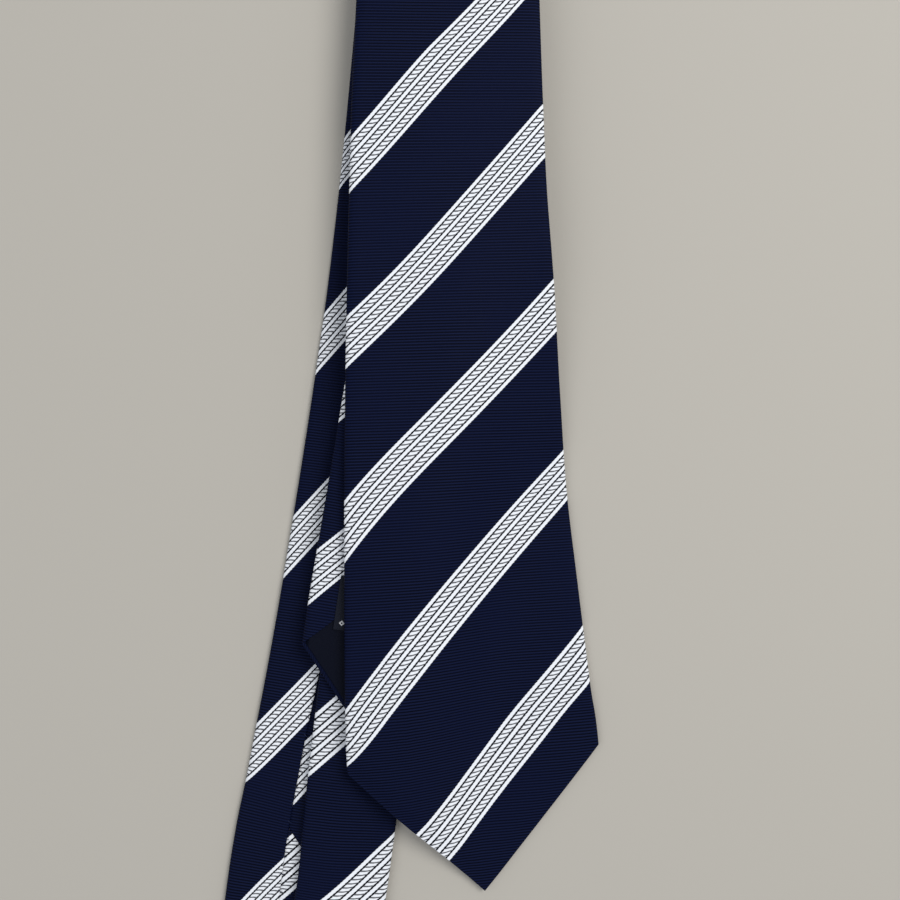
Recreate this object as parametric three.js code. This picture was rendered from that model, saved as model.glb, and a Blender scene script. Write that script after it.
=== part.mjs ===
// Folded necktie. Millimetres, +Z up, the tie lies on the plane Z = 0 and the
// wide blade's tip points along -Y.
//
// The tie is one long flat tube of silk, folded twice, so that four legs lie
// on each other. Every solid is a cross-section (x across, y through the
// thickness) that is swept along the leg and bent to its centre line.
//   u : across the tie, to the right seen from the face with the tip down
//   v : along the tie
//   n : through the thickness, + towards the face (striped) side
import * as THREE from 'three';
import { mergeVertices } from 'three/addons/utils/BufferGeometryUtils.js';

// ---------------------------------------------------------------- dimensions
const HALF_THICK = 1.5;        // half of a leg's thickness
const WALL = 0.4;              // silk shell
const FLAP = 0.3;              // silk of the back flaps
const SLIT = 0.5;              // half of the gap between the back flaps
const GAP = 0.3;               // between touching pieces
const FOLD_Y = 204.0;          // centre of the outer fold at the top
const FOLD_X = 13.8;
const INNER_FOLD_Y = 204.9;    // centre of the inner fold at the top
const INNER_FOLD_X = 19.1;
const HINGE_Z = 7.95;          // height at which the two halves part
const R_OUTER = 6.3;           // mid-surface radius of the outer fold
const R_INNER = 1.65;          // mid-surface radius of the inner fold
const NECK_Y = -210.0;         // centre of the neck fold at the bottom
const NECK_X = -45.2;
const R_NECK = 2.325;
const Z_FRONT = 14.4;          // mid-surface heights of the four legs
const Z_TAIL = 9.75;
const Z_NECK_TAIL = 6.15;
const Z_NECK_FRONT = 1.5;
const Z_ON_TABLE = 1.65;

// centre lines: [x, y, half width]; blades start at their tip
const FRONT_TIP = 47.5;        // tip to the line between the corners
const FRONT_CORNER_W = 42.8;
const TAIL_TIP = 20.4;
const TAIL_CORNER_W = 18.8;
const FRONT = [[26.4, -128.7, 42.8], [22.9, -81.3, 42.8], [21.2, -61.3, 41.7], [19.0, -27.5, 39.7],
  [17.0, 6.1, 37.7], [15.8, 39.6, 36.2], [14.8, 72.9, 34.7], [13.8, 105.9, 32.9], [13.5, 138.7, 31.7],
  [13.7, 171.5, 30.4], [13.8, 188.0, 29.9], [FOLD_X, FOLD_Y, 29.6]];
const NECK_FRONT = [[FOLD_X, FOLD_Y, 29.4], [13.2, 194.0, 28.9], [10.4, 177.3, 28.0], [6.0, 146.4, 26.4],
  [1.4, 113.8, 25.0], [-5.4, 74.4, 22.8], [-11.8, 40.1, 21.3], [-17.0, 12.3, 20.4], [-25.4, -28.6, 18.7],
  [-30.9, -53.9, 17.7], [-35.3, -74.2, 17.2], [-38.6, -91.7, 17.2], [-41.7, -108.8, 17.7],
  [-44.6, -130.4, 18.2], [-46.7, -152.0, 18.2], [-47.5, -176.0, 17.8], [-46.4, -196.6, 17.5],
  [NECK_X, NECK_Y, 17.2]];
const NECK_TAIL = [[NECK_X, NECK_Y, 17.2], [-42.4, -194.5, 16.8], [-35.0, -173.3, 16.4], [-27.2, -149.7, 15.7],
  [-22.7, -128.0, 15.3], [-19.8, -104.3, 15.7], [-17.9, -88.8, 16.0], [-14.5, -61.7, 16.2],
  [-10.3, -27.9, 16.4], [-3.7, 22.9, 16.6], [2.9, 73.7, 16.6], [9.7, 124.4, 16.6], [15.9, 170.2, 16.6],
  [18.2, 188.4, 16.5], [INNER_FOLD_X, INNER_FOLD_Y, 16.4]];
const TAIL = [[-20.0, -64.9, 18.8], [-16.7, -44.8, 18.8], [-14.2, -27.3, 18.7], [-8.7, 6.2, 18.5],
  [-3.2, 41.0, 18.2], [1.5, 73.1, 17.7], [9.4, 123.3, 16.9], [16.4, 169.0, 16.4], [18.4, 188.4, 16.3],
  [INNER_FOLD_X, INNER_FOLD_Y, 16.2]];

const FRONT_JOIN_V = 362;      // seam between the front panel and the neck panel
const TAIL_JOIN_V = 668;       // seam between the neck panel and the tail panel
const ORIGIN_X = -0.11;         // sets the origin under the middle of the tie's box
const ORIGIN_Y = 1.01;
const KEEPER_V = 192;          // keeper loop, from the front tip
const KEEPER_LONG = 9;
const KEEPER_HALF = 31;
const LABEL_V = 148;
const CARE_LABEL_V = 27;

const C = {
  navy: 0x1c2747, lining: 0x141d38, felt: 0xd9d3c4, thread: 0x1a2340, label: 0x10162c,
};

// ------------------------------------------------------------------- helpers
const clamp = (x, a, b) => Math.min(b, Math.max(a, x));
const lerp = (a, b, t) => a + (b - a) * t;
const smooth = (t) => { const s = clamp(t, 0, 1); return s * s * (3 - 2 * s); };

// a smooth plan curve through the rows, measured by its length
function line(rows) {
  const pts = [];
  const at = (i) => rows[clamp(i, 0, rows.length - 1)];
  for (let i = 0; i < rows.length - 1; i += 1) {
    const [p0, p1, p2, p3] = [at(i - 1), at(i), at(i + 1), at(i + 2)];
    const steps = 16;
    for (let k = 0; k < steps + (i === rows.length - 2 ? 1 : 0); k += 1) {
      const t = k / steps;
      pts.push([0, 1, 2].map((c) => 0.5 * (2 * p1[c] + (p2[c] - p0[c]) * t
        + (2 * p0[c] - 5 * p1[c] + 4 * p2[c] - p3[c]) * t * t
        + (3 * p1[c] - p0[c] - 3 * p2[c] + p3[c]) * t * t * t)));
    }
  }
  const run = [0];
  for (let i = 1; i < pts.length; i += 1) {
    run.push(run[i - 1] + Math.hypot(pts[i][0] - pts[i - 1][0], pts[i][1] - pts[i - 1][1]));
  }
  const length = run[run.length - 1];
  const point = (v) => {
    const s = clamp(v, 0, length);
    let lo = 0; let hi = run.length - 1;
    while (hi - lo > 1) { const m = (lo + hi) >> 1; if (run[m] <= s) lo = m; else hi = m; }
    const t = (s - run[lo]) / (run[hi] - run[lo]);
    return [0, 1, 2].map((c) => lerp(pts[lo][c], pts[hi][c], t));
  };
  return { length, point };
}

// position on a leg lying flat; squareStart / squareEnd: the ends that run
// into a fold, where the leg is square to the fold
function leg(rows, height, up, squareStart, squareEnd) {
  const c = line(rows);
  const place = (v, u, n) => {
    const p = c.point(v);
    const a = c.point(v - 4); const b = c.point(v + 4);
    let ax = b[1] - a[1]; let ay = -(b[0] - a[0]);
    if (ax < 0) { ax = -ax; ay = -ay; }
    const l = Math.hypot(ax, ay); ax /= l; ay /= l;
    let w = 1;
    if (squareStart) w = Math.min(w, smooth(v / 22));
    if (squareEnd) w = Math.min(w, smooth((c.length - v) / 22));
    ay *= w;
    const m = Math.hypot(ax, ay); ax /= m; ay /= m;
    return [p[0] + u * ax, p[1] + u * ay, height(p[1], clamp(u / p[2], -1, 1)) + up * n];
  };
  return { length: c.length, width: (v) => c.point(v)[2], place };
}

// the wide blade lies on the stack with its left part, and its tip and its
// right-hand edge come down to the table
function heightFront(y, s) {
  const left = Z_FRONT - 4.1 * smooth((-45 - y) / 80);
  const middle = Z_FRONT - 12.4 * smooth((-20 - y) / 108);
  const right = Z_ON_TABLE + (Z_FRONT - Z_ON_TABLE) * (0.43 * smooth(y / 62) + 0.57 * smooth((y - 40) / 62));
  return s < 0 ? lerp(middle, left, -s) : lerp(middle, right, s);
}

// the tail's neck leg tilts down beside the leg under it
function heightNeckTail(y, s) {
  const drop = 3.6 * smooth((-y - 62) / 36) * (1 - smooth((-y - 145) / 24));
  return Z_NECK_TAIL - drop * Math.max(0, s);
}

// ---------------------------------------------------------------- three runs
const frontLeg = leg(FRONT, heightFront, 1, false, true);
const neckFrontLeg = leg(NECK_FRONT, () => Z_NECK_FRONT, -1, true, true);
const neckTailLeg = leg(NECK_TAIL, heightNeckTail, 1, true, true);
const tailLeg = leg(TAIL, () => Z_TAIL, -1, false, true);

const Q_OUTER = (Math.PI / 2) * R_OUTER;
const Q_INNER = (Math.PI / 2) * R_INNER;
const U_NECK = Math.PI * R_NECK;

const frontRun = {
  length: frontLeg.length + Q_OUTER,
  width: (v) => frontLeg.width(v),
  place(v, u, n) {
    if (v <= frontLeg.length) return frontLeg.place(v, u, n);
    const f = Math.PI / 2 - (v - frontLeg.length) / R_OUTER;
    return [FOLD_X + u, FOLD_Y + (R_OUTER + n) * Math.cos(f), HINGE_Z + 0.15 + (R_OUTER + n) * Math.sin(f)];
  },
};

const tailRun = {
  length: tailLeg.length + Q_INNER,
  width: (v) => tailLeg.width(v),
  place(v, u, n) {
    if (v <= tailLeg.length) return tailLeg.place(v, u, n);
    const f = Math.PI / 2 - (v - tailLeg.length) / R_INNER;
    return [INNER_FOLD_X + u, INNER_FOLD_Y + (R_INNER - n) * Math.cos(f),
      HINGE_Z + 0.15 + (R_INNER - n) * Math.sin(f)];
  },
};

const N1 = Q_OUTER;
const N2 = N1 + neckFrontLeg.length;
const N3 = N2 + U_NECK;
const N4 = N3 + neckTailLeg.length;
const neckRun = {
  length: N4 + Q_INNER,
  width(v) {
    if (v < N2) return neckFrontLeg.width(v - N1);
    return neckTailLeg.width(v - N3);
  },
  place(v, u, n) {
    if (v < N1) {
      const f = -v / R_OUTER;
      return [FOLD_X + u, FOLD_Y + (R_OUTER + n) * Math.cos(f), HINGE_Z - 0.15 + (R_OUTER + n) * Math.sin(f)];
    }
    if (v <= N2) return neckFrontLeg.place(v - N1, u, n);
    if (v < N3) {
      const f = (v - N2) / R_NECK;
      return [NECK_X + u, NECK_Y - (R_NECK + n) * Math.sin(f),
        Z_NECK_FRONT + R_NECK - (R_NECK + n) * Math.cos(f)];
    }
    if (v <= N4) return neckTailLeg.place(v - N3, u, n);
    const f = -Math.PI / 2 + (v - N4) / R_INNER;
    return [INNER_FOLD_X + u, INNER_FOLD_Y + (R_INNER - n) * Math.cos(f),
      HINGE_Z - 0.15 + (R_INNER - n) * Math.sin(f)];
  },
};

// -------------------------------------------------------------- cross-sections
// |x| above 500 counts back from the edge: x = 1000 - 2 lies 2 mm inside it.
// 200 to 400 is a share of the way from the middle to the edge.
const E = 1000;
const MIDS = [200 + 200 / 3, 200 + 400 / 3];
function tubeSection(mid) {
  const h = HALF_THICK; const i = h - WALL; const b = h - FLAP;
  const m = (y) => (mid ? MIDS.map((x) => [x, y]) : []);
  const back = (y) => m(y).reverse();
  const outer = [[SLIT, -h], ...m(-h), [E - 0.9, -h], [E - 0.2, -0.9], [E, 0], [E - 0.2, 0.9], [E - 0.9, h],
    ...back(h), [0, h]];
  const inner = [[SLIT, -b], ...m(-b), [E - 1.1, -b], [E - 0.6, -0.7], [E - 0.42, 0], [E - 0.6, 0.7],
    [E - 1.1, i], ...back(i), [0, i]];
  const left = (r) => r.slice(0, -1).map(([x, y]) => [-x, y]).reverse();
  return [...outer, ...left(outer), ...[...inner, ...left(inner)].reverse()];
}
function plateSection(inset, low, high, mid) {
  const half = (y) => [[0, y], ...(mid ? MIDS.map((x) => [x, y]) : []), [E - inset, y]];
  const left = (y) => half(y).slice(1).map(([x, z]) => [-x, z]).reverse();
  return [...left(low), ...half(low), ...half(high).reverse(), ...left(high).reverse()];
}
const stripSection = (half, low, high) => [[-half, low], [0, low], [half, low], [half, high], [0, high],
  [-half, high]];

const flat = { roughness: 0.9, metalness: 0 };

// the two ends of a piece, closed straight across its wall: a section is one
// side of the wall followed by the facing points of its other side
function endsAcrossWall(g, section, steps) {
  const walls = g.groups.find((q) => q.materialIndex === 1);
  const all = g.attributes.position.array;
  const out = [];
  // every quad of the side walls is split along the same way, so that facing
  // sides of a wall stay parallel where the cloth twists
  for (let k = walls.start; k < walls.start + walls.count; k += 6) {
    const [a, b, d, , c] = [0, 1, 2, 3, 4].map((i) => Array.from(all.subarray((k + i) * 3, (k + i + 1) * 3)));
    const rising = (d[0] - b[0]) * (d[2] - b[2]) >= 0;
    out.push(...(rising ? [a, b, d, b, c, d] : [a, b, c, a, c, d]).flat());
  }
  const m = section.length / 2;
  for (const z of [0, steps]) {
    for (let i = 0; i < m - 1; i += 1) {
      const [a, b] = [section[i], section[i + 1]];
      const [c, d] = [section[2 * m - 2 - i], section[2 * m - 1 - i]];
      const tris = [[a, b, c], [a, c, d]].map((t) => (z === 0 ? t.reverse() : t));
      tris.flat().forEach(([x, y]) => out.push(x, y, z));
    }
  }
  const r = new THREE.BufferGeometry();
  r.setAttribute('position', new THREE.Float32BufferAttribute(out, 3));
  return r;
}

// stations: one entry for each section along the piece, either v itself or a
// function of the place on the section where the section is slanted
function solid(name, section, run, stations, colour, look = flat) {
  const steps = stations.length - 1;
  const area = THREE.ShapeUtils.area(section.map(([x, y]) => new THREE.Vector2(x, y)));
  if (area < 0) section = [...section].reverse();
  const shape = new THREE.Shape(section.map(([x, y]) => new THREE.Vector2(x, y)));
  let g = new THREE.ExtrudeGeometry(shape, { depth: steps, steps, bevelEnabled: false });
  g = endsAcrossWall(g, section, steps);
  const p = g.attributes.position;
  for (let k = 0; k < p.count; k += 1) {
    const x = p.getX(k); const n = p.getY(k);
    const st = stations[Math.round(p.getZ(k))];
    const vAt = (share) => (typeof st === 'function' ? st(share, n) : st);
    const side = Math.sign(x);
    let u = x; let v;
    if (Math.abs(x) > 500) {
      v = vAt(side);
      u = side * (run.width(v) - (E - Math.abs(x)));
      v = vAt(u / run.width(v));
    } else if (Math.abs(x) > 200) {
      const share = (Math.abs(x) - 200) / 200;
      v = vAt(side * share);
      u = side * share * run.width(v);
    } else {
      v = vAt(x / run.width(vAt(0)));
    }
    p.setXYZ(k, ...run.place(v, u, n));
  }
  g.deleteAttribute('normal'); g.deleteAttribute('uv');
  g = mergeVertices(g, 1e-5);
  const q = g.attributes.position; const ix = g.index.array;
  let volume = 0;
  for (let k = 0; k < ix.length; k += 3) {
    const [a, b, c] = [ix[k], ix[k + 1], ix[k + 2]].map((i) => new THREE.Vector3().fromBufferAttribute(q, i));
    volume += a.dot(b.cross(c)) / 6;
  }
  if (volume < 0) for (let k = 0; k < ix.length; k += 3) [ix[k + 1], ix[k + 2]] = [ix[k + 2], ix[k + 1]];
  g.computeVertexNormals();
  const mesh = new THREE.Mesh(g, new THREE.MeshStandardMaterial({ color: colour, ...look }));
  mesh.name = name;
  return mesh;
}

const range = (a, b, n) => Array.from({ length: n + 1 }, (_, i) => lerp(a, b, i / n));
// n sections that turn from a slanted end line into a square one at v
const fromLine = (end, v, n) => range(0, 1, n).slice(0, -1).map((t) => (s, y) => lerp(end(s, y), v, t));
const toLine = (v, end, n) => range(0, 1, n).slice(1).map((t) => (s, y) => lerp(v, end(s, y), t));
// the numbers of a list that lie between a and b, with a and b themselves
const part = (list, a, b) => [a, ...list.filter((v) => typeof v === 'number' && v > a + 0.6 && v < b - 0.6), b];

// pointed blade end: the face comes to a point, the back flaps open in a V
const pointed = (tip, half, inset = 0) => (s, n) => {
  const a = Math.abs(s);
  if (inset) return tip * a + inset;
  if (n < -1.0) return tip + (1 - a) * half;
  if (n > 1.0) return tip * a;
  return tip;
};
// a panel join, cut along the grain at 45 degrees: it slants one way over the
// face and carries on round the edges over the two back flaps
const join = (v0, w, gap) => (s, n) => {
  const a = Math.abs(s);
  const k = Math.sign(s) || 1;
  if (n < -1.0) return v0 - k * w * (2 - a) + gap;
  if (n > 1.0) return v0 - s * w + gap;
  return v0 - k * w + gap;
};

const tie = new THREE.Group();
const add = (...m) => { tie.add(...m); };
const silk = { roughness: 0.62, metalness: 0 };

// ------------------------------------------------------------ wide (front) blade
const FL = frontRun.length;
const frontLine = [...range(112, frontLeg.length, 17), ...range(frontLeg.length, FL, 5).slice(1)];
add(solid('front_panel', tubeSection(true), frontRun,
  [...fromLine(pointed(FRONT_TIP, FRONT_CORNER_W), 112, 9), ...frontLine], C.navy, silk));
add(solid('front_interlining', plateSection(1.5, -0.2, 0.5, true), frontRun,
  [...fromLine(pointed(FRONT_TIP, FRONT_CORNER_W, 1.5), 112, 9), ...part(frontLine, 112, FL)], C.felt));
add(solid('front_tipping', plateSection(1.8, -0.7, -0.5, true), frontRun,
  [...fromLine(pointed(FRONT_TIP, FRONT_CORNER_W, 1.7), 112, 9), 112], C.lining));
add(solid('front_slip_stitch', stripSection(0.18, -1.42, -1.14), frontRun, part(frontLine, 97, FL - 1), C.thread));
add(solid('front_bar_tack', stripSection(3.4, -2.2, -1.9), frontRun, [92.6, 93.8], C.thread));
add(solid('brand_label', stripSection(24, -2.2, -1.9), frontRun, part(frontLine, LABEL_V, LABEL_V + 15), C.label));
for (const [side, s] of [['left', -1], ['right', 1]]) {
  const at = (a, b) => [[a * s, -2.8], [b * s, -2.8], [b * s, -2.5], [a * s, -2.5]];
  add(solid(`label_tack_${side}`, at(22.2, 23.0), frontRun, part(frontLine, LABEL_V + 1, LABEL_V + 14), C.thread));
}
add(solid('keeper_loop', [[-KEEPER_HALF, -2.1], [-KEEPER_HALF + 3.6, -2.1], [-KEEPER_HALF + 4.6, -2.5],
  [0, -2.5], [KEEPER_HALF - 4.6, -2.5], [KEEPER_HALF - 3.6, -2.1], [KEEPER_HALF, -2.1],
  [KEEPER_HALF, -1.8], [KEEPER_HALF - 3.5, -1.8], [KEEPER_HALF - 4.5, -2.2], [0, -2.2],
  [-KEEPER_HALF + 4.5, -2.2], [-KEEPER_HALF + 3.5, -1.8], [-KEEPER_HALF, -1.8]],
frontRun, part(frontLine, KEEPER_V, KEEPER_V + KEEPER_LONG), C.navy, silk));
for (const [side, s] of [['left', -1], ['right', 1]]) {
  const at = (a, b) => [[a * s, -2.7], [b * s, -2.7], [b * s, -2.4], [a * s, -2.4]];
  add(solid(`keeper_tack_${side}`, at(28.4, 29.4), frontRun,
    part(frontLine, KEEPER_V + 0.8, KEEPER_V + KEEPER_LONG - 0.8), C.thread));
}

// ------------------------------------------------------------------- narrow tail
const TL = tailRun.length;
const tailLine = [...range(60, tailLeg.length, 14), ...range(tailLeg.length, TL, 4).slice(1)];
add(solid('tail_panel', tubeSection(false), tailRun,
  [...fromLine(pointed(TAIL_TIP, TAIL_CORNER_W), 60, 4), ...tailLine], C.navy, silk));
add(solid('tail_interlining', plateSection(1.5, -0.2, 0.8, false), tailRun,
  [...fromLine(pointed(TAIL_TIP, TAIL_CORNER_W, 1.5), 60, 4), ...part(tailLine, 60, TL)], C.felt));
add(solid('tail_tipping', plateSection(1.6, -0.72, -0.5, false), tailRun,
  [...fromLine(pointed(TAIL_TIP, TAIL_CORNER_W, 1.7), 60, 4), 60], C.lining));
add(solid('tail_slip_stitch', stripSection(0.18, -1.42, -1.14), tailRun, part(tailLine, 43, TL - 0.8), C.thread));
add(solid('tail_bar_tack', stripSection(2.6, -2.1, -1.8), tailRun, [48.6, 49.7], C.thread));
add(solid('care_label', stripSection(9, -2.1, -1.8), tailRun,
  range(CARE_LABEL_V, CARE_LABEL_V + 18, 3), C.label));

// ---------------------------------------------------- the two neck legs and loop
const NL = neckRun.length;
const J1 = neckRun.width(FRONT_JOIN_V);
const J2 = neckRun.width(TAIL_JOIN_V);
const A1 = FRONT_JOIN_V - 2 * J1 - 14;
const A2 = FRONT_JOIN_V + 2 * J1 + 10;
const B1 = TAIL_JOIN_V - 2 * J2 - 14;
const B2 = TAIL_JOIN_V + 2 * J2 + 14;
const neckLineA = [...range(0, N1, 5), ...range(N1, A1, 15).slice(1)];
const neckLineB = [A2, ...range(N2, N3, 8), ...range(N3, B1, 26).slice(1)];
const neckLineC = [...range(B2, N4, 9), ...range(N4, NL, 4).slice(1)];
const middleA = range(A1, A2, 7).slice(1, -1);
const middleB = range(B1, B2, 6).slice(1, -1);
const neckLine = [...neckLineA, ...middleA, ...neckLineB, ...middleB, ...neckLineC];
add(solid('front_panel_neckward', tubeSection(false), neckRun,
  [...neckLineA, ...toLine(A1, join(FRONT_JOIN_V, J1, -0.15), 5)], C.navy, silk));
add(solid('neck_panel', tubeSection(false), neckRun,
  [...fromLine(join(FRONT_JOIN_V, J1, 0.15), A2, 5), ...neckLineB,
    ...toLine(B1, join(TAIL_JOIN_V, J2, -0.15), 5)], C.navy, silk));
add(solid('tail_panel_neckward', tubeSection(false), neckRun,
  [...fromLine(join(TAIL_JOIN_V, J2, 0.15), B2, 5), ...neckLineC], C.navy, silk));
add(solid('front_interlining_neckward', plateSection(1.5, -0.5, 0.5, false), neckRun,
  part(neckLine, 0.2, N2 - 8), C.felt));
add(solid('tail_interlining_neckward', plateSection(1.5, -0.5, 0.5, false), neckRun,
  part(neckLine, N2 - 7.4, NL), C.felt));
add(solid('neck_slip_stitch', stripSection(0.18, -1.42, -1.14), neckRun, part(neckLine, 1, NL - 0.8), C.thread));

tie.position.set(ORIGIN_X, ORIGIN_Y, 0);
export default tie;
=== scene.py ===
import math
import bpy
import numpy as np
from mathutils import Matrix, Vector


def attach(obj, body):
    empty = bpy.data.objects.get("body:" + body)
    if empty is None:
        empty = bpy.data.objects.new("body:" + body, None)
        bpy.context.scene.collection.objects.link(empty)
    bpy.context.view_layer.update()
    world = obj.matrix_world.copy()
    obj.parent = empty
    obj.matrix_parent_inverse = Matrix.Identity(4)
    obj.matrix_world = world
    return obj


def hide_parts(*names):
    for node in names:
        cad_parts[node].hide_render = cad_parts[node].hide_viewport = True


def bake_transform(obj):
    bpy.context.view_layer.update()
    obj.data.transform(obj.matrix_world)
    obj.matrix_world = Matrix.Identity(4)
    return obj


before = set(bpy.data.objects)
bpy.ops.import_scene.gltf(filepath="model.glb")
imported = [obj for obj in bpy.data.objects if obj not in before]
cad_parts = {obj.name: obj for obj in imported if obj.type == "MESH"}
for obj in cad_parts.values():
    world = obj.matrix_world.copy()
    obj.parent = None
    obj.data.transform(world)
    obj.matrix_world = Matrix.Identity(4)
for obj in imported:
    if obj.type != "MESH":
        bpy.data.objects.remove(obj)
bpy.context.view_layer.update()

# Folded necktie: four legs of one long flat silk tube. Lengths below are in
# millimetres and become metres when a mesh is made.
SHIFT = np.array([-0.11, 1.01, 0.0])
HALF = 1.36          # half of a leg's thickness
FOLD_Y, FOLD_X = 204.0, 13.8
INNER_FOLD_Y, INNER_FOLD_X = 204.9, 19.1
HINGE_Z = 7.95
R_OUTER, R_INNER, R_NECK = 6.3, 1.65, 2.325
NECK_Y, NECK_X = -210.0, -45.2
Z_FRONT, Z_TAIL, Z_NECK_TAIL, Z_NECK_FRONT, Z_ON_TABLE = 14.4, 9.75, 6.15, 1.5, 1.62
FRONT_TIP, FRONT_CORNER_W, TAIL_TIP, TAIL_CORNER_W = 47.5, 42.8, 20.4, 18.8
FRONT = [[26.4, -128.7, 42.8], [22.9, -81.3, 42.8], [21.2, -61.3, 41.7], [19.0, -27.5, 39.7],
         [17.0, 6.1, 37.7], [15.8, 39.6, 36.2], [14.8, 72.9, 34.7], [13.8, 105.9, 32.9], [13.5, 138.7, 31.7],
         [13.7, 171.5, 30.4], [13.8, 188.0, 29.9], [FOLD_X, FOLD_Y, 29.6]]
NECK_FRONT = [[FOLD_X, FOLD_Y, 29.4], [13.2, 194.0, 28.9], [10.4, 177.3, 28.0], [6.0, 146.4, 26.4],
              [1.4, 113.8, 25.0], [-5.4, 74.4, 22.8], [-11.8, 40.1, 21.3], [-17.0, 12.3, 20.4], [-25.4, -28.6, 18.7],
              [-30.9, -53.9, 17.7], [-35.3, -74.2, 17.2], [-38.6, -91.7, 17.2], [-41.7, -108.8, 17.7],
              [-44.6, -130.4, 18.2], [-46.7, -152.0, 18.2], [-47.5, -176.0, 17.8], [-46.4, -196.6, 17.5],
              [NECK_X, NECK_Y, 17.2]]
NECK_TAIL = [[NECK_X, NECK_Y, 17.2], [-42.4, -194.5, 16.8], [-35.0, -173.3, 16.4], [-27.2, -149.7, 15.7],
             [-22.7, -128.0, 15.3], [-19.8, -104.3, 15.7], [-17.9, -88.8, 16.0], [-14.5, -61.7, 16.2],
             [-10.3, -27.9, 16.4], [-3.7, 22.9, 16.6], [2.9, 73.7, 16.6], [9.7, 124.4, 16.6], [15.9, 170.2, 16.6],
             [18.2, 188.4, 16.5], [INNER_FOLD_X, INNER_FOLD_Y, 16.4]]
TAIL = [[-20.0, -64.9, 18.8], [-16.7, -44.8, 18.8], [-14.2, -27.3, 18.7], [-8.7, 6.2, 18.5],
        [-3.2, 41.0, 18.2], [1.5, 73.1, 17.7], [9.4, 123.3, 16.9], [16.4, 169.0, 16.4], [18.4, 188.4, 16.3],
        [INNER_FOLD_X, INNER_FOLD_Y, 16.2]]
# right-hand edge of the three legs that the wide blade lies on: y, x
EDGE = np.array([[-126.5, -7.4], [-94.4, -2.6], [-60.9, 2.3], [-27.4, 6.0], [6.2, 10.4], [73.2, 20.4],
                 [111.7, 26.4], [173.7, 35.0], [215.0, 39.0]])


def smooth(t):
    s = np.clip(t, 0.0, 1.0)
    return s * s * (3 - 2 * s)


def lerp(a, b, t):
    return a + (b - a) * t


class Line:
    def __init__(self, rows):
        rows = np.array(rows, float)
        n = len(rows)
        at = lambda i: rows[min(max(i, 0), n - 1)]
        pts = []
        for i in range(n - 1):
            p0, p1, p2, p3 = at(i - 1), at(i), at(i + 1), at(i + 2)
            for k in range(16 + (i == n - 2)):
                t = k / 16
                pts.append(0.5 * (2 * p1 + (p2 - p0) * t + (2 * p0 - 5 * p1 + 4 * p2 - p3) * t * t
                                  + (3 * p1 - p0 - 3 * p2 + p3) * t ** 3))
        self.p = np.array(pts)
        self.r = np.concatenate([[0], np.cumsum(np.linalg.norm(np.diff(self.p[:, :2], axis=0), axis=1))])
        self.length = float(self.r[-1])

    def at(self, v):
        return np.stack([np.interp(v, self.r, self.p[:, c]) for c in range(3)], -1)


class Leg:
    def __init__(self, rows, height, up, square_start, square_end):
        self.c, self.height, self.up = Line(rows), height, up
        self.ss, self.se, self.length = square_start, square_end, self.c.length

    def width(self, v):
        return self.c.at(v)[..., 2]

    def place(self, v, u, n):
        p = self.c.at(v)
        d = self.c.at(v + 5)[..., :2] - self.c.at(v - 5)[..., :2]
        ax, ay = d[..., 1], -d[..., 0]
        sg = np.where(ax < 0, -1.0, 1.0)
        ln = np.hypot(ax, ay)
        ax, ay = sg * ax / ln, sg * ay / ln
        w = np.ones_like(v)
        if self.ss:
            w = np.minimum(w, smooth(v / 22))
        if self.se:
            w = np.minimum(w, smooth((self.length - v) / 22))
        ay = ay * w
        m = np.hypot(ax, ay)
        ax, ay = ax / m, ay / m
        x, y = p[..., 0] + u * ax, p[..., 1] + u * ay
        return np.stack([x, y, self.height(x, p[..., 1], np.clip(u / p[..., 2], -1, 1)) + self.up * n], -1)


def height_front(x, y, s):
    left = Z_FRONT - 4.1 * smooth((-45 - y) / 80)
    right = Z_ON_TABLE + (Z_FRONT - Z_ON_TABLE) * (0.43 * smooth(y / 62) + 0.57 * smooth((y - 40) / 62))
    edge = np.interp(y, EDGE[:, 0], EDGE[:, 1])
    return lerp(left, right, smooth((x - edge + 5.0) / 40.0))


def height_neck_tail(x, y, s):
    drop = 3.6 * smooth((-y - 62) / 36) * (1 - smooth((-y - 145) / 24))
    return Z_NECK_TAIL - drop * smooth((s + 0.5) / 1.5)


front_leg = Leg(FRONT, height_front, 1, False, True)
neck_front_leg = Leg(NECK_FRONT, lambda x, y, s: Z_NECK_FRONT + 0 * x, -1, True, True)
neck_tail_leg = Leg(NECK_TAIL, height_neck_tail, 1, True, True)
tail_leg = Leg(TAIL, lambda x, y, s: Z_TAIL + 0 * x, -1, False, True)
Q_OUTER, Q_INNER, U_NECK = math.pi / 2 * R_OUTER, math.pi / 2 * R_INNER, math.pi * R_NECK
FL, TL = front_leg.length + Q_OUTER, tail_leg.length + Q_INNER
N1 = Q_OUTER
N2 = N1 + neck_front_leg.length
N3 = N2 + U_NECK
N4 = N3 + neck_tail_leg.length
NL = N4 + Q_INNER


def pick(masks, values):
    out = np.zeros(values[0].shape)
    for m, val in zip(masks, values):
        out = np.where(m[..., None] if out.ndim > m.ndim else m, val, out)
    return out


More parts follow.
